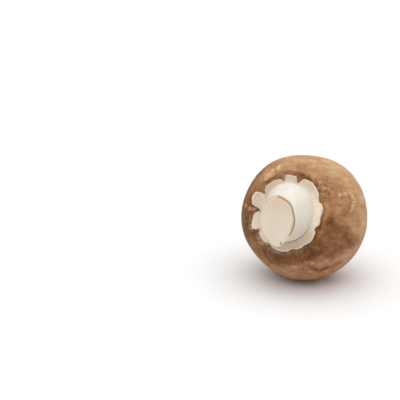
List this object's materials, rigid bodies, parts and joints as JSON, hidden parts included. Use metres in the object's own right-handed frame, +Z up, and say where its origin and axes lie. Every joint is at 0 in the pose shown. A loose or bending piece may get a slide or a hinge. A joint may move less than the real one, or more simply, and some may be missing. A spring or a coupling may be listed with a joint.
{
  "type": "button mushroom",
  "caption": "Brown button mushroom, picked and lying on its side: a rounded cap with a rolled rim, a torn white veil round its base and a thick, slant-cut stem.",
  "frame": {"origin": "on the surface it lies on, under the centre of its bounding box; the flat spot that carries it is 3 mm towards +Y", "axes": "+Z up, -Y the way the stem points, +X to the right of someone who faces the cut end of the stem"},
  "size_m": [0.0426, 0.0454, 0.0411],
  "materials": {
    "cap": "satin",
    "veil": "matte",
    "stem": "matte"
  },
  "bodies": {
    "root": {"cap": "cap", "veil": "veil", "stem": "stem"}
  },
  "joints": []
}
